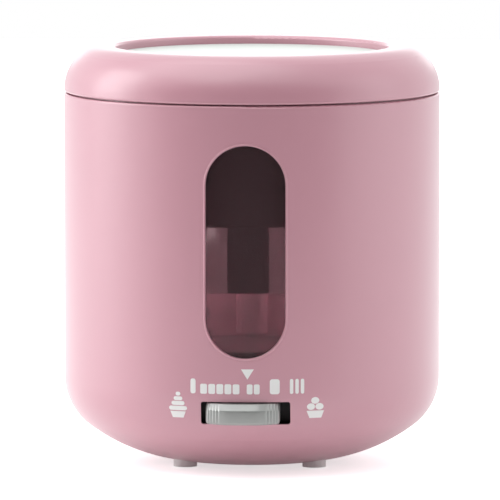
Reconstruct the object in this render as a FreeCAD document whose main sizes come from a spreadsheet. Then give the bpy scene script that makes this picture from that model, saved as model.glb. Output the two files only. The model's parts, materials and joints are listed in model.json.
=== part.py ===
import FreeCAD, Part
import math
import os
import re

import Sketcher
from FreeCAD import Placement, Rotation, Vector

# Household ice cream maker: a round pink housing with a removable clear mixing bowl, a frozen cold
# plate in the bowl's floor, and a lift-off lid that carries the motor, its gears and the paddle.
# Frame: +Z up, front towards -Y, origin on the table under the housing's axis. Millimetres.

SIZES = [
    # housing shell
    ("body_radius", 95.0, "radius of the straight outer wall"),
    ("wall", 2.6, "moulded wall of housing and lid"),
    ("base_lift", 0.8, "housing's underside above the table"),
    ("flat_radius", 29.0, "flat middle of the underside"),
    ("belly_radius", 90.0, "large arc of the rounded bottom"),
    ("corner_radius", 30.0, "small arc of the rounded bottom"),
    ("belly_rise", 42.0, "height of the rounded bottom"),
    ("rim_height", 186.7, "top edge of the housing"),
    ("edge_round", 1.0, "rounding of the edges along the lid seam"),
    ("hatch_radius", 58.0, "opening closed by the base plate"),
    # lid
    ("seam_gap", 0.7, "open seam between housing and lid"),
    ("overall_height", 210.3, "crest of the lid"),
    ("shoulder_reach", 17.5, "lid shoulder, measured inwards"),
    ("crest_radius", 14.0, "upper arc of the lid shoulder"),
    ("cover_radius", 68.7, "white top cover"),
    ("cover_top", 206.3, "upper face of the top cover"),
    ("cover_thick", 2.0, "top cover"),
    ("crest_inner", 70.6, "inner end of the lid's crest"),
    ("crest_round", 1.6, "inner rounding of the crest"),
    # window
    ("window_height", 114.2, "centre of the window above the table"),
    ("window_half_width", 19.8, "half of the visible width"),
    ("window_half_length", 52.9, "half of the visible length"),
    ("lens_recess", 0.7, "lens face behind the housing's surface"),
    ("lens_thick", 2.0, "each of the lens's two steps"),
    ("lens_lip", 2.6, "hidden flange around the lens"),
    # inner tub
    ("tub_radius", 84.5, "inside of the inner liner"),
    ("tub_wall", 2.0, "liner wall"),
    ("tub_floor", 49.0, "top of the liner's floor"),
    ("flange_top", 186.4, "liner's top flange"),
    ("neck_top", 190.4, "raised neck that centres the lid"),
    ("neck_radius", 92.0, "outside of the neck"),
    # bowl and cold plate
    ("bowl_foot", 49.1, "underside of the bowl"),
    ("bowl_low_radius", 75.6, "bowl outside, at the bottom"),
    ("bowl_top_radius", 80.5, "bowl outside, under its rim"),
    ("bowl_wall", 2.2, "bowl wall"),
    ("bowl_rim_radius", 83.4, "flange to lift the bowl by"),
    ("bowl_top", 174.4, "bowl rim"),
    ("cold_radius", 72.0, "cold plate and its tray"),
    ("cold_top", 62.0, "frozen face that the paddle scrapes"),
    ("cold_low", 52.8, "underside of the tray"),
    # drive unit
    ("drive_radius", 62.0, "outside of the drive housing"),
    ("drive_low", 123.0, "underside of the drive housing"),
    ("drive_wall", 2.2, "drive housing wall"),
    ("deck_low", 188.8, "underside of the drive housing's flange"),
    ("deck_thick", 2.0, "flange of the drive housing"),
    ("deck_radius", 89.6, "edge of that flange"),
    ("skirt_radius", 83.9, "skirt that enters the liner"),
    ("skirt_low", 178.4, "lower edge of the skirt"),
    ("hub_radius", 8.5, "bearing sleeve in the drive housing's floor"),
    ("hub_low", 104.0, "lower end of the bearing sleeve"),
    ("plate_low", 150.0, "gearbox plate"),
    ("plate_thick", 2.0, "gearbox plate"),
    ("motor_radius", 18.0, "motor can"),
    ("motor_top", 187.0, "motor can"),
    ("gear_low", 129.8, "underside of the compound gear"),
    ("gear_module", 0.8, "module of the gears"),
    ("pinion_teeth", 14, "motor pinion, and the small wheel of the compound gear"),
    ("wheel_teeth", 70, "large wheel of the compound gear"),
    ("output_teeth", 56, "output gear"),
    ("idler_angle", 45.0, "direction of the compound gear from the axis, degrees"),
    ("motor_angle", 170.0, "direction of the motor from the compound gear, degrees"),
    ("shaft_radius", 4.0, "output shaft"),
    # feed chute and its flap
    ("chute_width", 21.0, "outside, left to right"),
    ("chute_depth", 13.0, "outside, front to back"),
    ("chute_wall", 1.8, "chute wall"),
    ("chute_centre", 52.0, "in front of the axis"),
    ("chute_low", 90.0, "outlet above the paddle"),
    ("chute_round", 4.0, "outer corners"),
    ("flap_half_width", 13.2, "flap plate, flush with the cover"),
    ("flap_thick", 1.6, "flap plate"),
    ("flap_front", 60.8, "front edge of the flap"),
    ("hinge_centre", 42.2, "flap hinge, in front of the axis"),
    ("hinge_height", 204.8, "flap hinge"),
    ("barrel_radius", 1.5, "hinge barrel of the flap"),
    # paddle
    ("paddle_reach", 70.0, "end of the paddle's arms"),
    ("paddle_low", 62.8, "lower edge of the blade"),
    ("paddle_top", 112.0, "top of the arms"),
    ("blade_top", 84.0, "top of the blade"),
    ("blade_thick", 3.2, "blade, front to back"),
    ("arm_inner", 62.0, "inside of the arms"),
    ("scraper_reach", 73.2, "silicone edge of the arms"),
    # slide control
    ("slide_height", 33.8, "centre of the slide switch above the table"),
    ("slot_half_width", 22.2, "slot in the housing"),
    ("slot_half_height", 5.8, "slot in the housing"),
    ("slot_round", 1.2, "corners of the slot"),
    ("slider_offset", -1.3, "slider at rest, from the middle of its slot"),
    ("slider_half_width", 18.4, "silver slider"),
    ("slider_half_height", 5.2, "silver slider"),
    ("slider_front", 102.0, "front of the slider's bow"),
    ("slider_side", 94.4, "front corners of the slider"),
    ("slider_back", 79.0, "back of the slider"),
    ("carrier_thick", 2.0, "plate behind the slot"),
    ("carrier_half_width", 26.3, "plate behind the slot"),
    ("carrier_half_height", 7.0, "plate behind the slot"),
    # mains inlet
    ("inlet_height", 35.0, "centre of the inlet"),
    ("inlet_half_width", 13.0, "inlet housing"),
    ("inlet_half_height", 8.0, "inlet housing"),
    ("inlet_reach", 102.0, "rear face of the inlet"),
    ("socket_half_width", 7.7, "figure-eight socket"),
    ("socket_half_height", 4.3, "figure-eight socket"),
    ("socket_depth", 13.0, "figure-eight socket"),
    # feet and base
    ("foot_radius", 6.0, "rubber foot"),
    ("foot_circle", 46.0, "circle of the feet"),
    ("foot_top", 5.2, "top of the foot in its pocket"),
    ("post_circle", 47.0, "circle of the base screws"),
    ("post_low", 9.0, "foot of the liner's screw posts"),
]

doc = FreeCAD.newDocument("ice_cream_maker")
sheet = doc.addObject("Spreadsheet::Sheet", "sizes")
for row, (alias, number, note) in enumerate(SIZES, start=1):
    sheet.set(f"A{row}", alias)
    sheet.set(f"B{row}", str(number))
    sheet.set(f"C{row}", note)
    sheet.setAlias(f"B{row}", alias)
doc.recompute()

ALIAS = re.compile(r"\b(" + "|".join(sorted((s[0] for s in SIZES), key=len, reverse=True)) + r")\b")
SUBPARTS = []


# ---------------------------------------------------------------- helpers


def linked(expression):
    """The expression with every size name pointing at the sheet."""
    return ALIAS.sub(r"sizes.\1", str(expression))


def size(expression):
    """The number that an expression of sheet names has now."""
    return float(sheet.evalExpression(str(expression)))


def subpart(item, label=None):
    """Marks a finished object as a piece of the machine."""
    if label:
        item.Label = label
    SUBPARTS.append(item)
    return item


def arc_middle(start, end, radius):
    """Middle of the shorter arc; a positive radius has its centre on the left of the way."""
    chord = end - start
    left = Vector(-chord.y, chord.x, 0).normalize()
    rise = math.sqrt(max(radius * radius - chord.Length ** 2 / 4, 0.0)) - abs(radius)
    return (start + end) / 2 + left * math.copysign(1, radius) * rise


def outline(sketch, corners):
    """Draws a closed outline. A corner is (x, y) or (x, y, radius of the arc that arrives there)."""
    points = [Vector(size(c[0]), size(c[1]), 0) for c in corners]
    first = sketch.GeometryCount
    for n, corner in enumerate(corners):
        start, end = points[n - 1], points[n]
        if len(corner) == 3:
            edge = Part.Arc(start, arc_middle(start, end, size(corner[2])), end)
        else:
            edge = Part.LineSegment(start, end)
        sketch.addGeometry(edge)
    starts = []
    for n in range(len(corners)):
        near = (sketch.getPoint(first + n, 1) - points[n - 1]).Length < 1e-6
        starts.append(1 if near else 2)
    for n, corner in enumerate(corners):
        here, after = first + n, first + (n + 1) % len(corners)
        tail = 3 - starts[n]
        head = starts[(n + 1) % len(corners)]
        sketch.addConstraint(Sketcher.Constraint("Coincident", here, tail, after, head))
        bind(sketch, f"across_{here}", Sketcher.Constraint(
            "DistanceX", -1, 1, here, tail, points[n].x), corner[0])
        bind(sketch, f"up_{here}", Sketcher.Constraint(
            "DistanceY", -1, 1, here, tail, points[n].y), corner[1])
        if len(corner) == 3:
            bind(sketch, f"radius_{here}", Sketcher.Constraint(
                "Radius", here, abs(size(corner[2]))), f"abs({corner[2]})")


def bind(sketch, name, constraint, expression):
    """Adds a dimension that follows an expression of the sheet."""
    sketch.renameConstraint(sketch.addConstraint(constraint), name)
    sketch.setExpression(f"Constraints.{name}", linked(expression))


def stadium(sketch, half_width, half_length, centre_height="0", upright=True):
    """Draws two straight sides joined by half circles."""
    run = f"({half_length} - ({half_width}))" if upright else f"({half_width} - ({half_length}))"
    end = half_width if upright else half_length
    low, high = f"{centre_height} - {run}", f"{centre_height} + {run}"
    if upright:
        ends = [(f"({half_width})", low), (f"({half_width})", high),
                (f"-({half_width})", high), (f"-({half_width})", low)]
        tips = [("0", f"{high} + {end}"), ("0", f"{low} - ({end})")]
    else:
        top, bottom = f"{centre_height} + {end}", f"{centre_height} - ({end})"
        ends = [(f"-{run}", bottom), (run, bottom), (run, top), (f"-{run}", top)]
        tips = [(f"{run} + {end}", centre_height), (f"-{run} - {end}", centre_height)]
    points = [Vector(size(x), size(y), 0) for x, y in ends]
    middles = [Vector(size(x), size(y), 0) for x, y in tips]
    first = sketch.GeometryCount
    sketch.addGeometry(Part.LineSegment(points[0], points[1]))
    sketch.addGeometry(Part.Arc(points[1], middles[0], points[2]))
    sketch.addGeometry(Part.LineSegment(points[2], points[3]))
    sketch.addGeometry(Part.Arc(points[3], middles[1], points[0]))
    for n in range(4):
        sketch.addConstraint(Sketcher.Constraint("Coincident", first + n, 2, first + (n + 1) % 4, 1))
        bind(sketch, f"end_across_{first + n}", Sketcher.Constraint(
            "DistanceX", -1, 1, first + n, 1, points[n].x), ends[n][0])
        bind(sketch, f"end_up_{first + n}", Sketcher.Constraint(
            "DistanceY", -1, 1, first + n, 1, points[n].y), ends[n][1])
        if n % 2:
            centre = "Y" if upright else "X"
            at = ends[n][1] if upright else ends[n][0]
            bind(sketch, f"centre_{first + n}", Sketcher.Constraint(
                f"Distance{centre}", -1, 1, first + n, 3, size(at)), at)


def sketch_in(body, name, plane="XZ_Plane", offset="0"):
    """A sketch on one of the body's own planes. On XZ its x is X and its y is Z."""
    sketch = body.newObject("Sketcher::SketchObject", name)
    support = next(f for f in body.Origin.OriginFeatures if f.Role == plane)
    sketch.AttachmentSupport = (support, "")
    sketch.MapMode = "FlatFace"
    sketch.setExpression("AttachmentOffset.Base.z", linked(offset))
    return sketch


def turned(name, corners):
    """A PartDesign body turned about Z from an outline of (radius, height) corners."""
    body = doc.addObject("PartDesign::Body", name)
    sketch = sketch_in(body, name + "_profile")
    outline(sketch, corners)
    turn = body.newObject("PartDesign::Revolution", name + "_turn")
    turn.Profile = sketch
    turn.ReferenceAxis = (sketch, ["V_Axis"])
    turn.Angle = 360
    body.Tip = turn
    return body


def padded(name, draw, low, height, plane="XY_Plane"):
    """A PartDesign body padded from what draw(sketch) draws, starting at low."""
    body = doc.addObject("PartDesign::Body", name)
    sketch = sketch_in(body, name + "_outline", plane, low)
    draw(sketch)
    pad = body.newObject("PartDesign::Pad", name + "_pad")
    pad.Profile = sketch
    pad.setExpression("Length", linked(height))
    body.Tip = pad
    return body


def pocketed(body, name, draw, plane="XZ_Plane", offset="0", depth=None, reverse=False):
    """Cuts what draw(sketch) draws out of a body, and makes sure that it cut something."""
    doc.recompute()
    before = body.Shape.Volume
    sketch = sketch_in(body, name + "_sketch", plane, offset)
    draw(sketch)
    pocket = body.newObject("PartDesign::Pocket", name)
    pocket.Profile = sketch
    if depth is None:
        pocket.Type = "ThroughAll"
    else:
        pocket.setExpression("Length", linked(depth))
    pocket.Reversed = reverse
    body.Tip = pocket
    doc.recompute()
    if body.Shape.Volume > before - 0.1:
        raise RuntimeError(f"{name} cut nothing")
    return pocket


def patterned(body, feature, count):
    """Repeats a feature evenly about the body's Z axis."""
    pattern = body.newObject("PartDesign::PolarPattern", feature.Name + "_ring")
    pattern.Originals = [feature]
    axis = next(f for f in body.Origin.OriginFeatures if f.Role == "Z_Axis")
    pattern.Axis = (axis, [""])
    pattern.Angle = 360
    pattern.Occurrences = count
    body.Tip = pattern
    return pattern


def dressed(body, kind, name, edges, measure, amount):
    """Rounds or bevels some edges of a body."""
    tip = body.Tip
    dress = body.newObject(kind, name)
    dress.Base = (tip, edges)
    setattr(dress, measure, amount)
    body.Tip = dress


def rounded_box(half_x, half_y, radius, middle_x="0", middle_y="0"):
    """Returns a function that draws a rectangle with rounded corners."""
    left, right = f"({middle_x}) - ({half_x})", f"({middle_x}) + ({half_x})"
    low, high = f"({middle_y}) - ({half_y})", f"({middle_y}) + ({half_y})"
    corners = [
        (f"{right} - ({radius})", low), (right, f"{low} + ({radius})", radius),
        (right, f"{high} - ({radius})"), (f"{right} - ({radius})", high, radius),
        (f"{left} + ({radius})", high), (left, f"{high} - ({radius})", radius),
        (left, f"{low} + ({radius})"), (f"{left} + ({radius})", low, radius),
    ]
    return lambda sketch: outline(sketch, corners)


def circle(radius, x="0", y="0"):
    """Returns a function that draws a circle."""

    def draw(sketch):
        geometry = sketch.addGeometry(
            Part.Circle(Vector(size(x), size(y), 0), Vector(0, 0, 1), size(radius)))
        bind(sketch, f"round_{geometry}", Sketcher.Constraint(
            "Radius", geometry, size(radius)), radius)
        bind(sketch, f"round_x_{geometry}", Sketcher.Constraint(
            "DistanceX", -1, 1, geometry, 3, size(x)), x)
        bind(sketch, f"round_y_{geometry}", Sketcher.Constraint(
            "DistanceY", -1, 1, geometry, 3, size(y)), y)

    return draw


def both(*draws):
    """Several drawings in one sketch, such as an outline and its holes."""
    return lambda sketch: [draw(sketch) for draw in draws]


def placed(item, x, y, z):
    """Binds an object's place to the sheet."""
    for axis, expression in zip("xyz", (x, y, z)):
        item.setExpression(f"Placement.Base.{axis}", linked(expression))
    return item


def box(name, half_x, y_low, y_high, z_low, z_high, x="0"):
    """A Part box, centred on x."""
    item = doc.addObject("Part::Box", name)
    item.setExpression("Length", linked(f"2 * ({half_x})"))
    item.setExpression("Width", linked(f"({y_high}) - ({y_low})"))
    item.setExpression("Height", linked(f"({z_high}) - ({z_low})"))
    return placed(item, f"{x} - ({half_x})", y_low, z_low)


def rod(name, radius, low, high, x="0", y="0", along="Z"):
    """A Part cylinder from low to high along Z or Y; x and y (or z, along Y) place its axis."""
    item = doc.addObject("Part::Cylinder", name)
    item.setExpression("Radius", linked(radius))
    item.setExpression("Height", linked(f"({high}) - ({low})"))
    if along == "Y":
        item.Placement = Placement(Vector(), Rotation(Vector(1, 0, 0), -90))
        return placed(item, x, low, y)
    if along == "X":
        item.Placement = Placement(Vector(), Rotation(Vector(0, 1, 0), 90))
        return placed(item, low, x, y)
    return placed(item, x, y, low)


def joined(name, *items):
    """One solid from several that touch."""
    item = doc.addObject("Part::MultiFuse", name)
    item.Shapes = list(items)
    item.Refine = True
    return item


def grouped(name, *items):
    """Separate solids that share one node."""
    item = doc.addObject("Part::Compound", name)
    item.Links = list(items)
    return item


def less(name, item, *tools):
    """An object with others cut out of it."""
    tool = tools[0] if len(tools) == 1 else joined(name + "_tools", *tools)
    result = doc.addObject("Part::Cut", name)
    result.Base = item
    result.Tool = tool
    result.Refine = True
    return result


def shared(name, first, second):
    """What two objects have in common."""
    result = doc.addObject("Part::Common", name)
    result.Base = first
    result.Tool = second
    return result


def tube(name, inner, outer, low, high):
    """A ring with square edges."""
    return turned(name, [(inner, low), (outer, low), (outer, high), (inner, high)])


def around(circle_radius, degrees):
    """The (x, y) expressions of a place on a circle about the axis."""
    return (f"({circle_radius}) * {math.cos(math.radians(degrees)):.6f}",
            f"({circle_radius}) * {math.sin(math.radians(degrees)):.6f}")


def cable(name, points, radius):
    """A wire along straight runs joined by tangent arcs."""
    corners = [Vector(*p) for p in points]
    edges, last = [], corners[0]
    for before, here, after in zip(corners, corners[1:], corners[2:]):
        back, on = (before - here), (after - here)
        turn = math.pi - back.getAngle(on)
        reach = min(5.0, 0.45 * min(back.Length, on.Length))
        bend = reach / math.tan(turn / 2)
        start, end = here + back.normalize() * reach, here + on.normalize() * reach
        middle_way = (back + on).normalize()
        centre = here + middle_way * math.hypot(bend, reach)
        edges.append(Part.LineSegment(last, start).toShape())
        edges.append(Part.Arc(start, centre - middle_way * bend, end).toShape())
        last = end
    edges.append(Part.LineSegment(last, corners[-1]).toShape())
    path = Part.Wire(edges)
    ring = Part.Wire(Part.makeCircle(radius, corners[0], corners[1] - corners[0]))
    return path.makePipeShell([ring], True, False)


def feature(name, shape):
    """An object whose shape is made with Part's own functions."""
    item = doc.addObject("Part::Feature", name)
    item.Shape = shape
    return item


# ---------------------------------------------------------------- gears

PRESSURE = math.radians(20)
ADDENDUM, DEDENDUM, BACKLASH = 0.8, 1.05, 0.07


def gear(teeth, thick, bore, phase):
    """A stub-tooth spur gear on Z; phase is the direction of one tooth, in radians."""
    module = size("gear_module")
    pitch = module * teeth / 2
    base, tip = pitch * math.cos(PRESSURE), pitch + ADDENDUM * module
    root = pitch - DEDENDUM * module
    half_tooth = (math.pi * module / 2 - BACKLASH) / 2 / pitch

    def flank(radius):
        angle = math.acos(min(1.0, base / radius))
        roll = math.tan(angle) - angle
        return half_tooth + math.tan(PRESSURE) - PRESSURE - roll

    def point(radius, angle):
        return Vector(radius * math.cos(angle), radius * math.sin(angle), 0)

    foot = max(base, root)
    middle = (foot + tip) / 2
    edges = []
    for n in range(teeth):
        axis = phase + 2 * math.pi * n / teeth
        following = axis + 2 * math.pi / teeth
        low, high = flank(foot), flank(tip)
        if root < base:
            edges.append(Part.LineSegment(point(root, axis - low), point(foot, axis - low)))
        edges.append(Part.Arc(point(foot, axis - low), point(middle, axis - flank(middle)),
                              point(tip, axis - high)))
        edges.append(Part.Arc(point(tip, axis - high), point(tip, axis), point(tip, axis + high)))
        edges.append(Part.Arc(point(tip, axis + high), point(middle, axis + flank(middle)),
                              point(foot, axis + low)))
        if root < base:
            edges.append(Part.LineSegment(point(foot, axis + low), point(root, axis + low)))
        edges.append(Part.Arc(point(root, axis + low), point(root, axis + math.pi / teeth),
                              point(root, following - low)))
    wire = Part.Wire([edge.toShape() for edge in edges])
    hole = Part.Wire(Part.makeCircle(bore))
    return Part.makeFace([wire, hole], "Part::FaceMakerBullseye").extrude(Vector(0, 0, thick))


# ---------------------------------------------------------------- shared curves

BELLY_X, BELLY_Z = "flat_radius", "(base_lift + belly_radius)"
CORNER_X, CORNER_Z = "(body_radius - corner_radius)", "(base_lift + belly_rise)"
AIM_X = f"(({CORNER_X} - {BELLY_X}) / (belly_radius - corner_radius))"
AIM_Z = f"(({BELLY_Z} - {CORNER_Z}) / (belly_radius - corner_radius))"


def belly_height(radius, inset="0"):
    """Height of the rounded bottom at a radius, inset by a wall."""
    return f"({BELLY_Z} - sqrt((belly_radius - {inset})^2 - (({radius}) - {BELLY_X})^2))"


def belly_join(inset="0"):
    """Where the bottom's large arc meets its small one."""
    return (f"{BELLY_X} + (belly_radius - {inset}) * {AIM_X}",
            f"{BELLY_Z} - (belly_radius - {inset}) * {AIM_Z}")


LID_STRAIGHT = "(rim_height + seam_gap + edge_round)"
LID_RISE = f"(overall_height - {LID_STRAIGHT})"
FLANK = (f"((shoulder_reach^2 + {LID_RISE}^2 - 2 * {LID_RISE} * crest_radius)"
         " / (2 * (shoulder_reach - crest_radius)))")
CREST_X = "(body_radius - shoulder_reach)"
LID_AIM_X = f"(({CREST_X} - body_radius + {FLANK}) / ({FLANK} - crest_radius))"
LID_AIM_Z = f"(({LID_RISE} - crest_radius) / ({FLANK} - crest_radius))"


# ---------------------------------------------------------------- housing


def make_outer_shell():
    """Pink housing with a rounded bottom, and openings for window, slider and inlet."""
    join_x, join_z = belly_join()
    inner_x, inner_z = belly_join("wall")
    body = turned("outer_shell", [
        ("hatch_radius", belly_height("hatch_radius", "wall")),
        ("hatch_radius", belly_height("hatch_radius")),
        (join_x, join_z, "belly_radius"),
        ("body_radius", CORNER_Z, "corner_radius"),
        ("body_radius", "rim_height - edge_round"),
        ("body_radius - edge_round", "rim_height", "edge_round"),
        ("body_radius - wall", "rim_height"),
        ("body_radius - wall", "flange_top - 2.2"),
        ("body_radius - wall - 2", "flange_top - 2.2"),
        ("body_radius - wall - 2", "flange_top - 3.4"),
        ("body_radius - wall", "flange_top - 5.6"),
        ("body_radius - wall", CORNER_Z),
        (inner_x, inner_z, "-(corner_radius - wall)"),
        ("hatch_radius", belly_height("hatch_radius", "wall"), "-(belly_radius - wall)"),
    ][1:])
    pocketed(body, "window_opening", lambda s: stadium(
        s, "window_half_width", "window_half_length", "window_height"), reverse=True)
    pocketed(body, "slider_slot", rounded_box(
        "slot_half_width", "slot_half_height", "slot_round", "0", "slide_height"), reverse=True)
    pocketed(body, "inlet_opening", rounded_box(
        "inlet_half_width + 0.1", "inlet_half_height + 0.1", "2", "0", "inlet_height"))
    return subpart(body)


def make_base_plate():
    """Dished plate under the housing: vents, screw holes and pockets for the feet."""
    plate = turned("base_dish", [
        ("0", "base_lift"),
        ("flat_radius", "base_lift"),
        ("hatch_radius - 0.3", belly_height("hatch_radius - 0.3"), "belly_radius"),
        ("hatch_radius - 0.3", "13"),
        ("hatch_radius - 2.7", "13"),
        ("hatch_radius - 2.7", belly_height("hatch_radius - 2.7") + " + wall"),
        ("flat_radius", "base_lift + wall", "-(belly_radius - wall)"),
        ("0", "base_lift + wall"),
    ])
    vent = pocketed(plate, "vent_slot", rounded_box("9", "1.2", "1.1", "24", "0"),
                    plane="XY_Plane", offset="base_lift + wall + 1")
    patterned(plate, vent, 12)
    foot_pads, foot_holes, screw_holes = [], [], []
    for n in range(4):
        x, y = around("foot_circle", 45 + 90 * n)
        foot_pads.append(rod(f"foot_pad_{n}", "foot_radius + 2", "foot_top - 0.1", "foot_top + 2.2",
                             x, y))
        foot_holes.append(rod(f"foot_pocket_{n}", "foot_radius", "-1", "foot_top", x, y))
        x, y = screw_place(n)
        foot_pads.append(rod(f"screw_pad_{n}", "5.2", "4.7", "post_low", x, y))
        screw_holes.append(rod(f"screw_hole_{n}", "1.8", "0", "post_low + 1", x, y))
        screw_holes.append(rod(f"screw_sink_{n}", "3.7", "0", "post_low - 2.4", x, y))
    for n, (x, y) in enumerate((("-24", "30"), ("24", "30"), ("-22", "48"), ("22", "48"))):
        foot_pads.append(rod(f"board_leg_{n}", "2.4", "5.6", "22", x, y))
    whole = joined("base_plate_whole", plate, *foot_pads)
    subpart(less("base_plate", whole, *foot_holes, *screw_holes))
    for n, corner in enumerate(("rear_right", "rear_left", "front_left", "front_right")):
        x, y = around("foot_circle", 45 + 90 * n)
        blank = rod(f"foot_blank_{n}", "foot_radius - 0.05", "0", "foot_top", x, y)
        dimple = rod(f"foot_dimple_{n}", "2.2", "-1", "0.8", x, y)
        subpart(less("foot_" + corner, blank, dimple))


SCREW_ANGLES = (18, 162, 198, 342)


def screw_place(n):
    """Where base screw n stands."""
    return around("post_circle", SCREW_ANGLES[n])


def screw(name, x, y, low, head_radius, head_height, shank_radius, length):
    """A pan-head screw with a cross recess, head down."""
    head = rod(name + "_head", head_radius, low, f"{low} + {head_height}", x, y)
    shank = rod(name + "_shank", shank_radius, f"{low} + {head_height}", f"{low} + {length}", x, y)
    recess_wide = box(name + "_recess_a", "0.45", f"{y} - 1.6", f"{y} + 1.6",
                      f"{low} - 1", f"{low} + 1", x)
    recess_deep = box(name + "_recess_b", "1.6", f"{y} - 0.45", f"{y} + 0.45",
                      f"{low} - 1", f"{low} + 1", x)
    return less(name, joined(name + "_blank", head, shank), recess_wide, recess_deep)


def make_base_screws():
    screws = []
    for n in range(4):
        x, y = screw_place(n)
        screws.append(screw(f"base_screw_{n}", x, y, "post_low - 4.6", "3.4", "2.2", "1.6", "14"))
    subpart(grouped("base_screws", *screws))


def make_inner_liner():
    """Pink tub that holds the bowl, with screw posts, bowl keys and the window's opening."""
    tub = turned("liner_tub", [
        ("0", "tub_floor - tub_wall"),
        ("tub_radius + tub_wall", "tub_floor - tub_wall"),
        ("tub_radius + tub_wall", "flange_top - 2.2"),
        ("neck_radius + 0.2", "flange_top - 2.2"),
        ("neck_radius + 0.2", "rim_height"),
        ("neck_radius", "rim_height"),
        ("neck_radius", "neck_top"),
        ("neck_radius - 1.8", "neck_top"),
        ("neck_radius - 1.8", "flange_top"),
        ("tub_radius", "flange_top"),
        ("tub_radius", "tub_floor + 2"),
        ("tub_radius - 2", "tub_floor", "-2"),
        ("0", "tub_floor"),
    ])
    extras, cuts = [], []
    for n in range(4):
        x, y = screw_place(n)
        extras.append(rod(f"post_{n}", "4.5", "post_low", "tub_floor - 1", x, y))
        cuts.append(rod(f"post_bore_{n}", "1.7", "post_low - 1", "30", x, y))
    for n in range(3):
        x, y = around("69", 90 + 120 * n)
        extras.append(rod(f"bowl_key_{n}", "2.5", "tub_floor - 1", "tub_floor + 2.6", x, y))
    slab = window_slab("liner_window_tool", "4.5")
    for side in (-1, 1):
        cuts.append(rod(f"contact_hole_{side}", "1.0", "180", "195", f"{side} * 4", "88.2"))
    cuts += [lid_key(f"liner_key_slot_{n}", n, "4.3", "86.8", "94", "deck_low - 0.4", "neck_top + 1")
             for n in range(3)]
    whole = joined("liner_whole", tub, *extras)
    subpart(less("inner_liner", whole, slab, *cuts))


def lid_key(name, n, half_width, near, far, low, high):
    """Block for one of the three keys that stop the lid from turning."""
    turn = 30 + 120 * n
    key = box(name + "_blank", half_width, near, far, low, high)
    doc.recompute()
    return feature(name, key.Shape.rotated(Vector(), Vector(0, 0, 1), turn - 90))


def window_slab(name, margin):
    """A stadium prism in front of the axis, larger than the visible window by margin."""
    return padded(name, lambda s: stadium(
        s, f"(window_half_width + {margin})", f"(window_half_length + {margin})",
        "window_height"), "40", "70", plane="XZ_Plane")


def window_ring(name, outer_margin, inner_margin, low_radius, high_radius):
    """A stadium frame bent to the housing's roundness."""
    solid = window_slab(name + "_slab", outer_margin)
    shell = tube(name + "_tube", low_radius, high_radius, "40", "187")
    bent = shared(name + "_bent", solid, shell)
    if inner_margin is None:
        return bent
    return less(name, bent, window_slab(name + "_hole", inner_margin))


def make_window():
    """Smoked lens in two steps, its gasket, and the frame that bridges housing and liner."""
    face = "body_radius - lens_recess"
    step = "body_radius - wall - 0.1"
    front = window_ring("lens_front", "(-0.15)", None, f"{step} - 0.5", face)
    back = window_ring("lens_back", "lens_lip", None, f"{step} - lens_thick", step)
    subpart(joined("window_lens", front, back))
    subpart(window_ring("window_gasket", "lens_lip", "0.7",
                        f"{step} - lens_thick - 0.9", f"{step} - lens_thick"))
    subpart(window_ring("window_frame", "4.4", "0.7", "tub_radius - 0.3",
                        f"{step} - lens_thick - 0.9"))


def make_foam_sleeve():
    """Insulation between liner and housing, with gaps at the window and the rear wiring."""
    sleeve = tube("foam_tube", "tub_radius + tub_wall + 0.3", "body_radius - wall - 0.4", "52", "174")
    gap = window_slab("foam_window", "5")
    channel = box("foam_channel", "6", "80", "96", "50", "176")
    subpart(less("foam_sleeve", sleeve, gap, channel))


# ---------------------------------------------------------------- slide control


def make_slider():
    """Bowed silver slider, the dark plate behind its slot, and the switch lever it pushes."""
    bow = ("((slider_half_width^2 + (slider_front - slider_side)^2)"
           " / (2 * (slider_front - slider_side)))")
    button = padded("slider_button", lambda s: outline(s, [
        ("-slider_half_width", "-slider_back"),
        ("-slider_half_width", "-slider_side"),
        ("slider_half_width", "-slider_side", bow),
        ("slider_half_width", "-slider_back"),
    ]), "slide_height - slider_half_height", "2 * slider_half_height")
    placed(button, "slider_offset", "0", "0")
    doc.recompute()
    shape = button.Shape
    front = [f"Edge{n}" for n, edge in enumerate(shape.Edges, start=1)
             if edge.BoundBox.YMax < -size("slider_side") + 0.01]
    dressed(button, "PartDesign::Fillet", "slider_round", front, "Radius", 1.6)
    subpart(button)
    back = "-(slider_back - carrier_thick)"
    at = "slider_offset"
    plate = box("carrier_plate", "carrier_half_width", "-slider_back", back,
                "slide_height - carrier_half_height", "slide_height + carrier_half_height", at)
    fork = box("carrier_fork", "4", back, f"{back} + 4.5", "slide_height - 3", "slide_height + 3", at)
    notch = box("carrier_notch", "1.6", f"{back} + 0.5", f"{back} + 6", "slide_height - 4",
                "slide_height + 4", at)
    subpart(less("slider_carrier", joined("carrier_whole", plate, fork), notch))
    subpart(box("switch_lever", "1.5", f"{back} + 1", f"{back} + 7.6", "slide_height - 1.8",
                "slide_height + 1.8", at))


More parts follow.
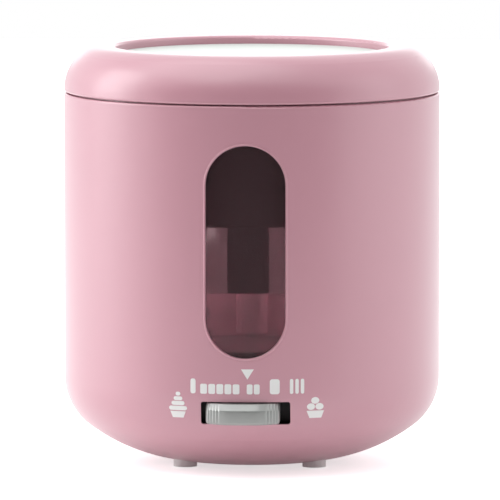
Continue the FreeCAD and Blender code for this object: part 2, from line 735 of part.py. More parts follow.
def make_slide_switch():
    """Rail that guides the carrier, the switch behind it, and the board it is soldered to."""
    back = "-(slider_back - carrier_thick)"
    plate = box("rail_plate", "28", f"{back} + 0.4", f"{back} + 2",
                "slide_height - carrier_half_height - 2", "slide_height + carrier_half_height + 2")
    lips = [box(f"rail_lip_{side}", "22", "-slider_back", f"{back} + 1",
                f"slide_height + {side} * (carrier_half_height + 1.1) - 0.8",
                f"slide_height + {side} * (carrier_half_height + 1.1) + 0.8")
            for side in (-1, 1)]
    gate = box("rail_gate", "10.5", f"{back} - 1", f"{back} + 3", "slide_height - 3.6",
               "slide_height + 3.6")
    legs = [shared(f"rail_leg_{side}",
                   box(f"rail_leg_blank_{side}", "2.5", "-94", f"{back} + 2", "tub_floor - tub_wall - 3.6",
                       "tub_floor - tub_wall - 0.8", f"{side} * 25"),
                   turned(f"rail_leg_form_{side}", [
                       ("0", "30"), ("body_radius - wall", "30"), ("body_radius - wall", "60"),
                       ("0", "60")]))
            for side in (-1, 1)]
    braces = [box(f"rail_brace_{side}", "2.5", f"{back} + 0.4", f"{back} + 2", "slide_height + 6",
                  "tub_floor - tub_wall - 0.8", f"{side} * 25") for side in (-1, 1)]
    subpart(less("slider_rail", joined("rail_whole", plate, *lips, *legs, *braces), gate))
    body = box("switch_body", "12", f"{back} + 4.9", f"{back} + 11", "slide_height - 4.5",
               "slide_height + 4.5")
    mouth = box("switch_mouth", "7.6", f"{back} + 4", f"{back} + 8", "slide_height - 2.2",
                "slide_height + 2.2")
    subpart(less("slide_switch", body, mouth))
    subpart(box("control_board", "26", f"{back} + 11", f"{back} + 12.6", "slide_height - 12",
                "slide_height + 9.5"))


# ---------------------------------------------------------------- mains side


def make_inlet():
    """Figure-eight mains inlet with its two pins, standing proud of the rear wall."""
    body = padded("inlet_socket", rounded_box(
        "inlet_half_width", "inlet_half_height", "2", "0", "inlet_height"),
        "-inlet_reach", "20", plane="XZ_Plane")
    pocketed(body, "socket_hollow", lambda s: stadium(
        s, "socket_half_width", "socket_half_height", "inlet_height", upright=False),
        offset="-inlet_reach", depth="socket_depth", reverse=True)
    edges = [f"Edge{n}" for n, edge in enumerate(body.Shape.Edges, start=1)
             if edge.BoundBox.YMin > size("inlet_reach") - 0.01
             and abs(edge.BoundBox.Center.x) + abs(edge.BoundBox.Center.z - size("inlet_height")) > 8.9
             or edge.BoundBox.YMin > size("inlet_reach") - 0.01 and edge.Length > 20]
    dressed(body, "PartDesign::Chamfer", "inlet_edge", edges, "Size", 1.2)
    subpart(body)
    pins = [rod(f"inlet_pin_{side}", "1.2", "inlet_reach - socket_depth", "inlet_reach - 3",
                f"{side} * 4.3", "inlet_height", along="Y") for side in (-1, 1)]
    subpart(grouped("inlet_pins", *pins))


def make_power_board():
    """Supply board behind the inlet, with its transformer and capacitors."""
    subpart(box("power_board", "30", "24", "72", "22", "23.6"))
    core = box("transformer_core", "12", "30", "50", "23.6", "42", "-12")
    coil = box("transformer_coil", "8", "27.5", "52.5", "25", "39", "-12")
    subpart(joined("transformer", core, coil))
    cans = [rod(f"capacitor_{n}", "5", "23.6", "40", x, y)
            for n, (x, y) in enumerate((("14", "34"), ("14", "48"), ("25", "41")))]
    subpart(grouped("capacitors", *cans))


def make_wiring():
    """Leads from the supply board up the rear wall to the spring contacts in the rim."""
    leads = []
    for side in (-1, 1):
        leads.append(feature(f"rear_lead_{side}", cable("rear_lead", [
            (side * 4, 66, 23.6), (side * 4, 66, 45), (side * 4, 89.2, 45),
            (side * 4, 89.2, size("flange_top - 12")),
        ], 0.8)))
    subpart(grouped("rear_wiring", *leads))
    subpart(feature("front_wiring", cable("front_lead", [
        (4, 26, 23.6), (4, 26, 32), (0, -8, 36), (0, -48, 30), (0, -64.4, 30),
    ], 1.2)))
    subpart(box("contact_block", "7", "87.0", "90.0", "flange_top - 12", "flange_top - 2.3"))
    pins = [rod(f"contact_pin_{side}", "0.8", "flange_top - 2.3", "flange_top + 1.7",
                f"{side} * 4", "88.2")
            for side in (-1, 1)]
    subpart(grouped("contact_pins", *pins))


# ---------------------------------------------------------------- bowl


def make_bowl():
    """Clear mixing bowl with notches for the liner's keys."""
    bowl = turned("bowl_turned", [
        ("0", "bowl_foot + 1.4"),
        ("64", "bowl_foot + 1.4"),
        ("64", "bowl_foot"),
        ("73.6", "bowl_foot"),
        ("bowl_low_radius", "bowl_foot + 3"),
        ("bowl_top_radius", "bowl_top - 4"),
        ("bowl_rim_radius", "bowl_top - 2.6"),
        ("bowl_rim_radius", "bowl_top - 0.8"),
        ("bowl_rim_radius - 0.8", "bowl_top", "0.8"),
        ("bowl_top_radius - 1.2", "bowl_top"),
        ("bowl_top_radius - bowl_wall", "bowl_top - 4"),
        ("bowl_low_radius - bowl_wall", "bowl_foot + 6"),
        ("bowl_low_radius - bowl_wall - 2.4", "bowl_foot + 3.6"),
        ("0", "bowl_foot + 3.6"),
    ])
    notches = [rod(f"bowl_notch_{n}", "3.0", "bowl_foot - 1", "bowl_foot + 2.6",
                   *around("69", 90 + 120 * n)) for n in range(3)]
    subpart(less("mixing_bowl", bowl, *notches))


def make_cold_plate():
    """Sealed freezer disc: aluminium plate, plastic tray, gel and filler plug."""
    plate = turned("cold_plate", [
        ("0", "cold_top - 2"),
        ("cold_radius - 2.2", "cold_top - 2"),
        ("cold_radius - 2.2", "cold_low + 4"),
        ("cold_radius", "cold_low + 4"),
        ("cold_radius", "cold_top - 1"),
        ("cold_radius - 1", "cold_top", "1"),
        ("3", "cold_top"),
        ("3", "cold_top + 1.6"),
        ("0", "cold_top + 1.6"),
    ])
    subpart(plate)
    tray = turned("tray_turned", [
        ("0", "cold_low"),
        ("cold_radius - 2.2", "cold_low"),
        ("cold_radius", "cold_low + 2.2", "2.2"),
        ("cold_radius", "cold_low + 4"),
        ("cold_radius - 2.2", "cold_low + 4"),
        ("cold_radius - 2.2", "cold_low + 1.6"),
        ("0", "cold_low + 1.6"),
    ])
    filler = rod("filler_bore", "5", "cold_low - 1", "cold_low + 3", "40", "0")
    subpart(less("cold_tray", tray, filler))
    subpart(rod("filler_plug", "5", "cold_low", "cold_low + 1.6", "40", "0"))
    subpart(rod("coolant_gel", "cold_radius - 2.4", "cold_low + 1.6", "cold_top - 2"))


# ---------------------------------------------------------------- lid


def make_lid_shell():
    """Pink lid ring with a rounded shoulder, a ledge for the top cover and four screw bosses."""
    body = turned("lid_ring", [
        ("body_radius - edge_round", "rim_height + seam_gap"),
        ("body_radius", LID_STRAIGHT, "edge_round"),
        (f"body_radius - {FLANK} + {FLANK} * {LID_AIM_X}",
         f"{LID_STRAIGHT} + {FLANK} * {LID_AIM_Z}", FLANK),
        (CREST_X, "overall_height", "crest_radius"),
        ("crest_inner", "overall_height"),
        ("crest_inner - crest_round", "overall_height - crest_round", "crest_round"),
        ("crest_inner - crest_round", "cover_top - cover_thick"),
        ("66", "cover_top - cover_thick"),
        ("66", "cover_top - cover_thick - 2.2"),
        ("82", "cover_top - cover_thick - 2.2"),
        ("86.5", "overall_height - 10.4"),
        ("90.6", "overall_height - 16"),
        ("body_radius - wall", "rim_height + 5"),
        ("body_radius - wall", "rim_height + seam_gap"),
    ])
    bosses, bores = [], []
    for n in range(4):
        x, y = around("76", 45 + 90 * n)
        bosses.append(rod(f"lid_boss_{n}", "4.2", "deck_low + deck_thick", "cover_top - 3", x, y))
        bores.append(rod(f"lid_bore_{n}", "1.6", "deck_low", "cover_top - 5.5", x, y))
    subpart(less("lid_shell", joined("lid_whole", body, *bosses), *bores))


def make_top_cover():
    """White cover in the lid's recess, with a flush seat for the flap over the feed chute."""
    disc = turned("cover_disc", [
        ("0", "cover_top - cover_thick"),
        ("63.2", "cover_top - cover_thick"),
        ("63.2", "cover_top - cover_thick - 2.6"),
        ("65.7", "cover_top - cover_thick - 2.6"),
        ("65.7", "cover_top - cover_thick"),
        ("cover_radius", "cover_top - cover_thick"),
        ("cover_radius", "cover_top - 0.8"),
        ("cover_radius - 0.8", "cover_top", "0.8"),
        ("0", "cover_top"),
    ])
    seat = box("flap_seat", "flap_half_width + 1.8", "-61", "-38.6", "cover_top - 5.4", "cover_top - 1")
    mouth = padded("cover_mouth", chute_outline("0.15"), "cover_top - 8", "12")
    recess = box("flap_recess", "flap_half_width + 0.2", "-flap_front - 0.2",
                 "-hinge_centre - barrel_radius - 0.1", "cover_top - 1.9", "cover_top + 1")
    groove = box("hinge_groove", "9.3", "-hinge_centre - 3", "-hinge_centre + 2.3",
                 "hinge_height - 1.8", "cover_top + 1")
    notch = rod("finger_notch", "5", "cover_top - 1.2", "cover_top + 1", "0", "-flap_front")
    bore = rod("hinge_bore", "0.65", "-13.6", "13.6", "-hinge_centre", "hinge_height", along="X")
    subpart(less("top_cover", joined("cover_whole", disc, seat), mouth, recess, groove, notch, bore))


def chute_outline(margin):
    """The chute's outer outline, grown by margin."""
    return rounded_box(f"chute_width / 2 + {margin}", f"chute_depth / 2 + {margin}",
                       f"chute_round + {margin}", "0", "-chute_centre")


def make_feed_chute():
    """Charcoal tube that drops ingredients from the top flap to just above the paddle."""
    low, height = "chute_low", "cover_top - 2 - chute_low"
    body = padded("feed_chute", both(chute_outline("0"), chute_outline("(-chute_wall)")), low, height)
    subpart(body)


def make_flap():
    """White flap over the chute, flush with the cover, its plug lip and its hinge pin."""
    low, top = "cover_top - 0.1 - flap_thick", "cover_top - 0.1"
    rear = "hinge_centre + barrel_radius + 0.9"
    plate = padded("flap_plate", rounded_box(
        "flap_half_width", f"(flap_front - ({rear})) / 2", "1.2", "0",
        f"-(flap_front + {rear}) / 2"), low, "flap_thick")
    lip = padded("flap_lip", rounded_box("7.6", "3.4", "2", "0", "-chute_centre"),
                 "cover_top - 3", "2")
    barrel = rod("flap_barrel", "barrel_radius - 0.05", "-9", "9", "-hinge_centre", "hinge_height",
                 along="X")
    web = box("flap_web", "9", "-hinge_centre - 4", "-hinge_centre", "hinge_height - 0.1", top)
    hole = rod("flap_hole", "0.67", "-12", "12", "-hinge_centre", "hinge_height", along="X")
    subpart(less("chute_flap", joined("flap_whole", plate, lip, barrel, web), hole))
    subpart(rod("flap_pin", "0.6", "-13.2", "13.2", "-hinge_centre", "hinge_height", along="X"))


def make_drive_housing():
    """Charcoal cup under the lid: deck, skirt and posts for the gearbox plate; bearing sleeve."""
    cup = turned("drive_cup", [
        ("0", "drive_low"),
        ("drive_radius - 3", "drive_low"),
        ("drive_radius", "drive_low + 3", "3"),
        ("drive_radius", "deck_low"),
        ("skirt_radius - 1.9", "deck_low"),
        ("skirt_radius - 1.9", "skirt_low"),
        ("skirt_radius", "skirt_low"),
        ("skirt_radius", "deck_low"),
        ("deck_radius", "deck_low"),
        ("deck_radius", "deck_low + deck_thick"),
        ("drive_radius - drive_wall", "deck_low + deck_thick"),
        ("drive_radius - drive_wall", "drive_low + drive_wall + 0.3"),
        ("0", "drive_low + drive_wall + 0.3"),
    ])
    posts = [rod(f"drive_post_{n}", "3.6", "drive_low + 1", "plate_low", *around("50", 135 + 90 * n))
             for n in range(3)]
    posts += [lid_key(f"drive_key_{n}", n, "4", "87", "91.9", "deck_low", "deck_low + deck_thick")
              for n in range(3)]
    cuts = [padded("drive_chute_hole", chute_outline("0.15"), "drive_low - 5", "12"),
            rod("drive_sleeve_hole", "hub_radius", "drive_low - 1", "drive_low + 6")]
    for n in range(4):
        cuts.append(rod(f"deck_hole_{n}", "1.75", "deck_low - 1", "deck_low + 4",
                        *around("76", 45 + 90 * n)))
    for side in (-1, 1):
        cuts.append(rod(f"pad_hole_{side}", "1.2", "deck_low - 1", "deck_low + 4",
                        f"{side} * 4", "88.2"))
    subpart(less("drive_housing", joined("drive_whole", cup, *posts), *cuts))
    floor_top = "drive_low + drive_wall + 0.3"
    subpart(joined("bearing_sleeve",
                   tube("sleeve_barrel", "6.5", "hub_radius", "hub_low", floor_top),
                   tube("sleeve_flange", "6.5", "hub_radius + 3.5", floor_top, f"{floor_top} + 1.2")))


def make_lid_fittings():
    """Seal, screws, contact pads and leads of the lid."""
    subpart(tube("lid_gasket", "84.7", "86.5", "flange_top + 0.05", "deck_low"))
    screws = []
    for n in range(4):
        x, y = around("76", 45 + 90 * n)
        screws.append(screw(f"lid_screw_{n}", x, y, "deck_low - 2.1", "3.2", "2.1", "1.5", "13"))
    subpart(grouped("lid_screws", *screws))
    pads = [rod(f"contact_pad_{side}", "1.2", "flange_top + 1.75", "deck_low + deck_thick + 1",
                f"{side} * 4", "88.2") for side in (-1, 1)]
    subpart(grouped("contact_pads", *pads))
    leads = [feature(f"lid_lead_{side}", cable("lid_lead", [
        (-13.3 + side * 7, 27, size("motor_top + 3.2")), (-13.3 + side * 7, 27, 194),
        (side * 4, 60, 196), (side * 4, 88.2, 196),
        (side * 4, 88.2, size("deck_low + deck_thick + 1"))], 0.7)) for side in (-1, 1)]
    subpart(grouped("lid_leads", *leads))


# ---------------------------------------------------------------- motor and gears

MODULE = "gear_module"
IDLER_X, IDLER_Y = around(f"({MODULE} * (pinion_teeth + output_teeth) / 2)", size("idler_angle"))
STEP_X, STEP_Y = around(f"({MODULE} * (pinion_teeth + wheel_teeth) / 2)", size("motor_angle"))
MOTOR_X, MOTOR_Y = f"({IDLER_X} + {STEP_X})", f"({IDLER_Y} + {STEP_Y})"


def make_gearbox():
    """Two-stage reduction between the motor and the paddle shaft."""
    plate = turned("gearbox_disc", [("0", "plate_low"), ("57", "plate_low"),
                                    ("57", "plate_low + plate_thick"),
                                    ("0", "plate_low + plate_thick")])
    cuts = [box("plate_chute_gap", "13", "-60", "-43", "plate_low - 1", "plate_low + 4"),
            rod("plate_motor_hole", "6.5", "plate_low - 1", "plate_low + 4", MOTOR_X, MOTOR_Y)]
    screws = []
    for n in range(3):
        x, y = around("50", 135 + 90 * n)
        screws.append(rod(f"plate_screw_{n}", "3", "plate_low + plate_thick",
                          "plate_low + plate_thick + 2", x, y))
    subpart(less("gearbox_plate", plate, *cuts))
    subpart(grouped("plate_screws", *screws))
    subpart(rod("idler_pin", "2", "drive_low + drive_wall + 0.3", "plate_low", IDLER_X, IDLER_Y))

    pinion, wheel = int(size("pinion_teeth")), int(size("wheel_teeth"))
    output = int(size("output_teeth"))
    to_idler = math.radians(size("idler_angle"))
    to_motor = math.radians(size("motor_angle"))
    low = size("gear_low")
    idler_at = Vector(size(IDLER_X), size(IDLER_Y), low)
    motor_at = Vector(size(MOTOR_X), size(MOTOR_Y), low)

    small = gear(pinion, 10.4, 2.06, to_idler + math.pi + math.pi / pinion)
    large = gear(wheel, 6.0, 2.06, to_motor)
    small.translate(idler_at)
    large.translate(idler_at + Vector(0, 0, 10.4))
    subpart(feature("compound_gear", small.fuse(large).removeSplitter()))
    last = gear(output, 7.0, size("shaft_radius"), to_idler)
    last.translate(Vector(0, 0, low + 1.6))
    subpart(feature("output_gear", last))
    first = gear(pinion, 6.8, 1.5, to_motor + math.pi + math.pi / pinion)
    first.translate(motor_at + Vector(0, 0, 10.2))
    subpart(feature("motor_pinion", first))


def make_output():
    """Paddle shaft with its hexagonal end, bronze bush and lip seal."""
    shaft = rod("shaft_round", "shaft_radius", "hub_low", "gear_low + 9.4")
    key = padded("shaft_key", hexagon("3.4"), "hub_low - 13.4", "13.5")
    subpart(joined("output_shaft", shaft, key))
    subpart(tube("output_bush", "shaft_radius + 0.05", "6.5", "hub_low + 4", "drive_low + drive_wall + 0.3"))
    subpart(tube("shaft_seal", "shaft_radius + 0.05", "6.5", "hub_low + 0.4", "hub_low + 4"))


def hexagon(flat):
    """Returns a function that draws a hexagon; flat is half of its width across the flats."""
    corner = f"({flat}) / 0.866025"
    return lambda sketch: outline(sketch, [around(corner, 60 * n) for n in range(6)])


def make_motor():
    """Direct-current motor standing on the gearbox plate."""
    low = "plate_low + plate_thick"
    can = turned("motor_can_turned", [
        ("0", low), ("motor_radius - 1.5", low), ("motor_radius", f"{low} + 1.5", "1.5"),
        ("motor_radius", "motor_top"), ("motor_radius - 1.6", "motor_top"),
        ("motor_radius - 1.6", f"{low} + 3"), ("0", f"{low} + 3")])
    placed(can, MOTOR_X, MOTOR_Y, "0")
    bore = rod("motor_bore", "1.6", f"{low} - 1", f"{low} + 4", MOTOR_X, MOTOR_Y)
    subpart(less("motor_can", can, bore))
    subpart(joined("motor_end_cap",
                   rod("motor_cap", "motor_radius - 1.7", "motor_top - 2", "motor_top + 1.2",
                       MOTOR_X, MOTOR_Y),
                   *[box(f"motor_tab_{side}", "1.2", f"{MOTOR_Y} + 0.8", f"{MOTOR_Y} + 2",
                         "motor_top + 1", "motor_top + 3.2", f"{MOTOR_X} + {side} * 7")
                     for side in (-1, 1)]))
    magnets = tube("motor_magnets", "motor_radius - 6.6", "motor_radius - 1.6", f"{low} + 6",
                   "motor_top - 6")
    subpart(placed(magnets, MOTOR_X, MOTOR_Y, "0"))
    core = rod("rotor_core", "motor_radius - 7.4", f"{low} + 9", "motor_top - 9", MOTOR_X, MOTOR_Y)
    shaft = rod("rotor_shaft", "1.5", "gear_low + 9.8", "motor_top - 3", MOTOR_X, MOTOR_Y)
    subpart(joined("motor_rotor", core, shaft))


# ---------------------------------------------------------------- paddle


def make_paddle():
    """Pink anchor-shaped paddle that scrapes the cold plate, with silicone edges on its arms."""
    blade = padded("paddle_blade", lambda s: outline(s, [
        ("-paddle_reach", "paddle_low"),
        ("paddle_reach", "paddle_low"),
        ("paddle_reach", "paddle_top - 3"),
        ("paddle_reach - 3", "paddle_top", "3"),
        ("arm_inner + 3", "paddle_top"),
        ("arm_inner", "paddle_top - 3", "3"),
        ("arm_inner", "blade_top + 8"),
        ("arm_inner - 8", "blade_top", "-8"),
        ("-arm_inner + 8", "blade_top"),
        ("-arm_inner", "blade_top + 8", "-8"),
        ("-arm_inner", "paddle_top - 3"),
        ("-arm_inner - 3", "paddle_top", "3"),
        ("-paddle_reach + 3", "paddle_top"),
        ("-paddle_reach", "paddle_top - 3", "3"),
    ]), "-blade_thick / 2", "blade_thick", plane="XZ_Plane")
    for side in (-1, 1):
        pocketed(blade, f"paddle_hole_{'left' if side < 0 else 'right'}", rounded_box(
            "15", "4.2", "4", f"{side} * 36", "(paddle_low + blade_top) / 2 + 0.6"),
            offset="-10", reverse=True)
    hub = rod("paddle_hub", "8", "paddle_low + 1.6", "hub_low - 0.6")
    socket = padded("paddle_socket", hexagon("3.46"), "hub_low - 13.9", "16")
    pivot = rod("paddle_pivot_bore", "3.3", "paddle_low - 1", "paddle_low + 1.4")
    subpart(less("paddle", joined("paddle_whole", blade, hub), socket, pivot))
    strips = [box(f"scraper_{side}", "(scraper_reach - paddle_reach) / 2", "-1", "1",
                  "paddle_low + 1", "paddle_top - 4",
                  f"{side} * (scraper_reach + paddle_reach) / 2") for side in (-1, 1)]
    subpart(grouped("paddle_scrapers", *strips))


# ---------------------------------------------------------------- build and write

make_outer_shell()
make_base_plate()
make_base_screws()
make_inner_liner()
make_window()
make_foam_sleeve()
make_slider()
make_slide_switch()
make_inlet()
make_power_board()
make_wiring()
make_bowl()
make_cold_plate()
make_lid_shell()
make_top_cover()
make_feed_chute()
make_flap()
make_drive_housing()
make_lid_fittings()
make_gearbox()
make_output()
make_motor()
make_paddle()
doc.recompute()

for item in doc.Objects:
    if set(item.State) & {"Invalid", "Error"}:
        raise RuntimeError(f"{item.Label} failed: {item.State}")
for item in SUBPARTS:
    if item.Shape.isNull() or not item.Shape.isValid() or not item.Shape.Solids:
        raise RuntimeError(f"{item.Label} has no valid solid")

os.makedirs("parts", exist_ok=True)
for item in SUBPARTS:
    item.Shape.exportStep(f"parts/{item.Label}.step")
    print(f"{item.Label:20s} solids {len(item.Shape.Solids)}  volume {item.Shape.Volume / 1000:8.2f} cm3")
print(len(SUBPARTS), "sub-parts")
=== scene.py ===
import json
import math

import bmesh
import bpy
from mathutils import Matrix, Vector


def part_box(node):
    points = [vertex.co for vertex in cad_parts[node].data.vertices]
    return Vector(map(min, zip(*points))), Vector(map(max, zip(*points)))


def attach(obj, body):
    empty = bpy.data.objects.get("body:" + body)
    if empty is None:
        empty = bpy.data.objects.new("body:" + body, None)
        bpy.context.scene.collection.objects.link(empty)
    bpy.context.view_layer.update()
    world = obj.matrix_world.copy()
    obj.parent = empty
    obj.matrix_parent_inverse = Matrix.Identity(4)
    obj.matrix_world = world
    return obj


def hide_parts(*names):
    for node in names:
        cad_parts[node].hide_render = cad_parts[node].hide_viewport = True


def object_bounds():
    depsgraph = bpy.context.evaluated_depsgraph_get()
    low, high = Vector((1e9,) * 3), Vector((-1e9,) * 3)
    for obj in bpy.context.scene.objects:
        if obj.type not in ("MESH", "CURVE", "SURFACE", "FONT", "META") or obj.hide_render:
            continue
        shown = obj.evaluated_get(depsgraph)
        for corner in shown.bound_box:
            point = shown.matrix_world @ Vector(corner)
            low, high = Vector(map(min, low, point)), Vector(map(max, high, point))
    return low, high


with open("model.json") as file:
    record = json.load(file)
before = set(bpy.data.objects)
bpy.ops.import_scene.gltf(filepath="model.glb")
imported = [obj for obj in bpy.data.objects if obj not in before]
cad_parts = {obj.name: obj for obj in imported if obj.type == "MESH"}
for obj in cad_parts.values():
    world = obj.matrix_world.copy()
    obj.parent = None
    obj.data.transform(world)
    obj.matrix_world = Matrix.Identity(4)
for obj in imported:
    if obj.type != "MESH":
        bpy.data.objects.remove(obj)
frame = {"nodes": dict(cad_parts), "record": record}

CAD_BOX = [list(corner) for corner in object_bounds()]
MM = 0.001

# Where the camera stands: turned from the machine's front, raised, and away from its middle.
CAMERA_AZIMUTH, CAMERA_ELEVATION, CAMERA_DISTANCE = math.radians(2.0), math.radians(5.6), 4.0
CAMERA_LENS, CAMERA_SHIFT = 568.0, (-0.004, 0.0044)

# Each area light's place, the point it faces, its width and height, and its power; metres, watts.
SOFTBOXES = {
    "left_softbox": ((-1.5, 0.1, 0.7), (0, 0, 0.12), 0.8, 1.2, 10.5),
    "right_softbox": ((1.6, -0.1, 0.7), (0, 0, 0.12), 0.8, 1.2, 2),
    "top_softbox": ((-0.4, -0.25, 1.5), (0, 0, 0.15), 1.6, 1.4, 9),
    "front_top_softbox": ((0, -1.3, 1.5), (0, 0, 0.2), 1.6, 0.7, 1.5),
    "back_softbox": ((0, 1.6, 0.45), (0, 0, 0.2), 1.4, 0.3, 1.5),
}
DAYLIGHT, BOWL_GLOW = (1.0, 1.0, 1.0), (1.0, 0.74, 0.8)


def tenths(length):
    """A length of the frame's in millimetres, to a tenth."""
    return round(length / MM, 1)


# The outer shell's form, in millimetres: a straight wall that turns under in an arc, whose radius
# and whose centre's height are the CAD model's.
SHELL_RADIUS = tenths(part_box("outer_shell")[1].x)
CORNER_RADIUS, CORNER_HEIGHT = 30.0, 42.8

# The window's opening, in millimetres: the lens without the lip that is hidden behind the wall.
LENS_LOW, LENS_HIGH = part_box("window_lens")
LENS_LIP = 2.6
WINDOW_HEIGHT = tenths((LENS_LOW.z + LENS_HIGH.z) / 2)
WINDOW_HALF_WIDTH = tenths(LENS_HIGH.x) - LENS_LIP
WINDOW_HALF_LENGTH = tenths((LENS_HIGH.z - LENS_LOW.z) / 2) - LENS_LIP

# The slide button's box, in millimetres.
BUTTON_LOW, BUTTON_HIGH = (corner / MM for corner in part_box("slider_button"))
BUTTON_HEIGHT = (BUTTON_LOW.z + BUTTON_HIGH.z) / 2


# ---------------------------------------------------------------- camera, light and stage


def aim(item, place, target):
    """Puts an object at a place, looking at a target."""
    item.location = place
    item.rotation_euler = (Vector(target) - Vector(place)).to_track_quat("-Z", "Y").to_euler()


def add_camera():
    """A long lens, a little above the object's middle and slightly to its right."""
    low, high = (Vector(corner) for corner in CAD_BOX)
    middle = Vector((0, 0, (low.z + high.z) / 2))
    level = math.cos(CAMERA_ELEVATION)
    way = Vector((math.sin(CAMERA_AZIMUTH) * level, -math.cos(CAMERA_AZIMUTH) * level,
                  math.sin(CAMERA_ELEVATION)))
    data = bpy.data.cameras.new("camera")
    data.lens, data.sensor_width = CAMERA_LENS, 36.0
    data.clip_end = 50
    data.shift_x, data.shift_y = CAMERA_SHIFT
    camera = bpy.data.objects.new("camera", data)
    bpy.context.collection.objects.link(camera)
    aim(camera, middle + way * CAMERA_DISTANCE, middle)
    bpy.context.scene.camera = camera


def add_softbox(name, place, target, width, height, power, colour=DAYLIGHT):
    """A rectangular area light that the camera doesn't see."""
    data = bpy.data.lights.new(name, "AREA")
    data.shape = "RECTANGLE"
    data.size, data.size_y = width, height
    data.energy = power
    data.color = colour
    light = bpy.data.objects.new(name, data)
    bpy.context.collection.objects.link(light)
    aim(light, place, target)
    light.visible_camera = False


def add_surroundings():
    """Even white surroundings."""
    world = bpy.data.worlds.new("surroundings")
    world.use_nodes = True
    background = world.node_tree.nodes["Background"]
    background.inputs["Color"].default_value = (1.0, 1.0, 1.0, 1)
    background.inputs["Strength"].default_value = 1.0
    bpy.context.scene.world = world


def add_floor():
    """A white floor that only the camera sees, and a sheet under it that lights the machine."""
    white, side = (0.96, 0.96, 0.96), 6.0
    floor = sheet("floor", side, side)
    floor.location.z = -0.0003
    floor.data.materials.append(glowing("floor_white", white, 0.6))
    floor.visible_diffuse = False
    floor.visible_glossy = False
    floor.visible_shadow = False

    bounce = sheet("bounce_sheet", side, side)
    bounce.location.z = -0.001
    bounce.data.materials.append(glowing("bounce_white", white, 0.11))
    bounce.visible_camera = False


def add_dark_board():
    """A black board in front of the machine, which darkens the middle of its front."""
    aside, away, height = -0.08, -0.8, 0.29
    board = sheet("dark_board", 2.4, 1.06)
    board.data.materials.append(plain("board_black", (0.01, 0.01, 0.01), 0.9))
    aim(board, (aside, away, height), (aside, 0, height))
    board.visible_camera = False


def add_lights():
    """The studio's softboxes, and two small pink lights inside the bowl, behind the window."""
    for name, values in SOFTBOXES.items():
        add_softbox(name, *values)
    for side in (-1, 1):
        add_softbox(f"bowl_light_{side + 1}", (0.05 * side, -0.03, 0.116), (0.03 * side, 0.08, 0.1),
                    0.02, 0.03, 0.1, BOWL_GLOW)


def sheet(name, width, depth):
    """A flat rectangle."""
    mesh = bpy.data.meshes.new(name)
    x, y = width / 2, depth / 2
    mesh.from_pydata([(-x, -y, 0), (x, -y, 0), (x, y, 0), (-x, y, 0)], [], [(0, 1, 2, 3)])
    piece = bpy.data.objects.new(name, mesh)
    bpy.context.collection.objects.link(piece)
    return piece


# ---------------------------------------------------------------- materials


def plain(name, colour, roughness):
    """A Principled material with constant values."""
    material = bpy.data.materials.new(name)
    material.use_nodes = True
    shader = material.node_tree.nodes["Principled BSDF"]
    shader.inputs["Base Color"].default_value = (*colour, 1)
    shader.inputs["Roughness"].default_value = roughness
    return material


def glowing(name, colour, strength):
    """A white that also gives off a little light, for the studio's floor."""
    material = plain(name, colour, 0.6)
    shader = material.node_tree.nodes["Principled BSDF"]
    shader.inputs["Emission Color"].default_value = (1, 1, 1, 1)
    shader.inputs["Emission Strength"].default_value = strength
    return material


def moulded(name, colour, roughness, coat=0.0, metal=0.0, grain=0.0004, grain_height=0.00002,
            vary=0.03, alpha=1.0, coat_roughness=0.2, specular=0.5, rough_vary=0.05):
    """Moulded plastic, rubber or metal: a fine grain, and colour and gloss that vary a little."""
    patches_per_metre, bump_strength = 22.0, 0.35
    material = plain(name, colour, roughness)
    tree = material.node_tree
    nodes, links = tree.nodes, tree.links
    shader = nodes["Principled BSDF"]
    shader.inputs["Metallic"].default_value = metal
    shader.inputs["Coat Weight"].default_value = coat
    shader.inputs["Coat Roughness"].default_value = coat_roughness
    shader.inputs["Specular IOR Level"].default_value = specular
    shader.inputs["Alpha"].default_value = alpha

    place = nodes.new("ShaderNodeTexCoord")
    broad = nodes.new("ShaderNodeTexNoise")
    broad.inputs["Scale"].default_value = patches_per_metre
    broad.inputs["Detail"].default_value = 3.0
    links.new(place.outputs["Object"], broad.inputs["Vector"])

    shade = nodes.new("ShaderNodeMix")
    shade.data_type = "RGBA"
    low = [c * (1 - vary) for c in colour]
    high = [min(1.0, c * (1 + vary)) for c in colour]
    shade.inputs["A"].default_value = (*low, 1)
    shade.inputs["B"].default_value = (*high, 1)
    links.new(broad.outputs["Fac"], shade.inputs["Factor"])
    links.new(shade.outputs["Result"], shader.inputs["Base Color"])

    gloss = nodes.new("ShaderNodeMapRange")
    gloss.inputs["To Min"].default_value = max(0.02, roughness - rough_vary)
    gloss.inputs["To Max"].default_value = min(1.0, roughness + rough_vary)
    links.new(broad.outputs["Fac"], gloss.inputs["Value"])
    links.new(gloss.outputs["Result"], shader.inputs["Roughness"])

    fine = nodes.new("ShaderNodeTexNoise")
    fine.inputs["Scale"].default_value = 1.0 / grain
    fine.inputs["Detail"].default_value = 2.0
    links.new(place.outputs["Object"], fine.inputs["Vector"])
    bump = nodes.new("ShaderNodeBump")
    bump.inputs["Strength"].default_value = bump_strength
    bump.inputs["Distance"].default_value = grain_height
    links.new(fine.outputs["Fac"], bump.inputs["Height"])
    links.new(bump.outputs["Normal"], shader.inputs["Normal"])
    return material


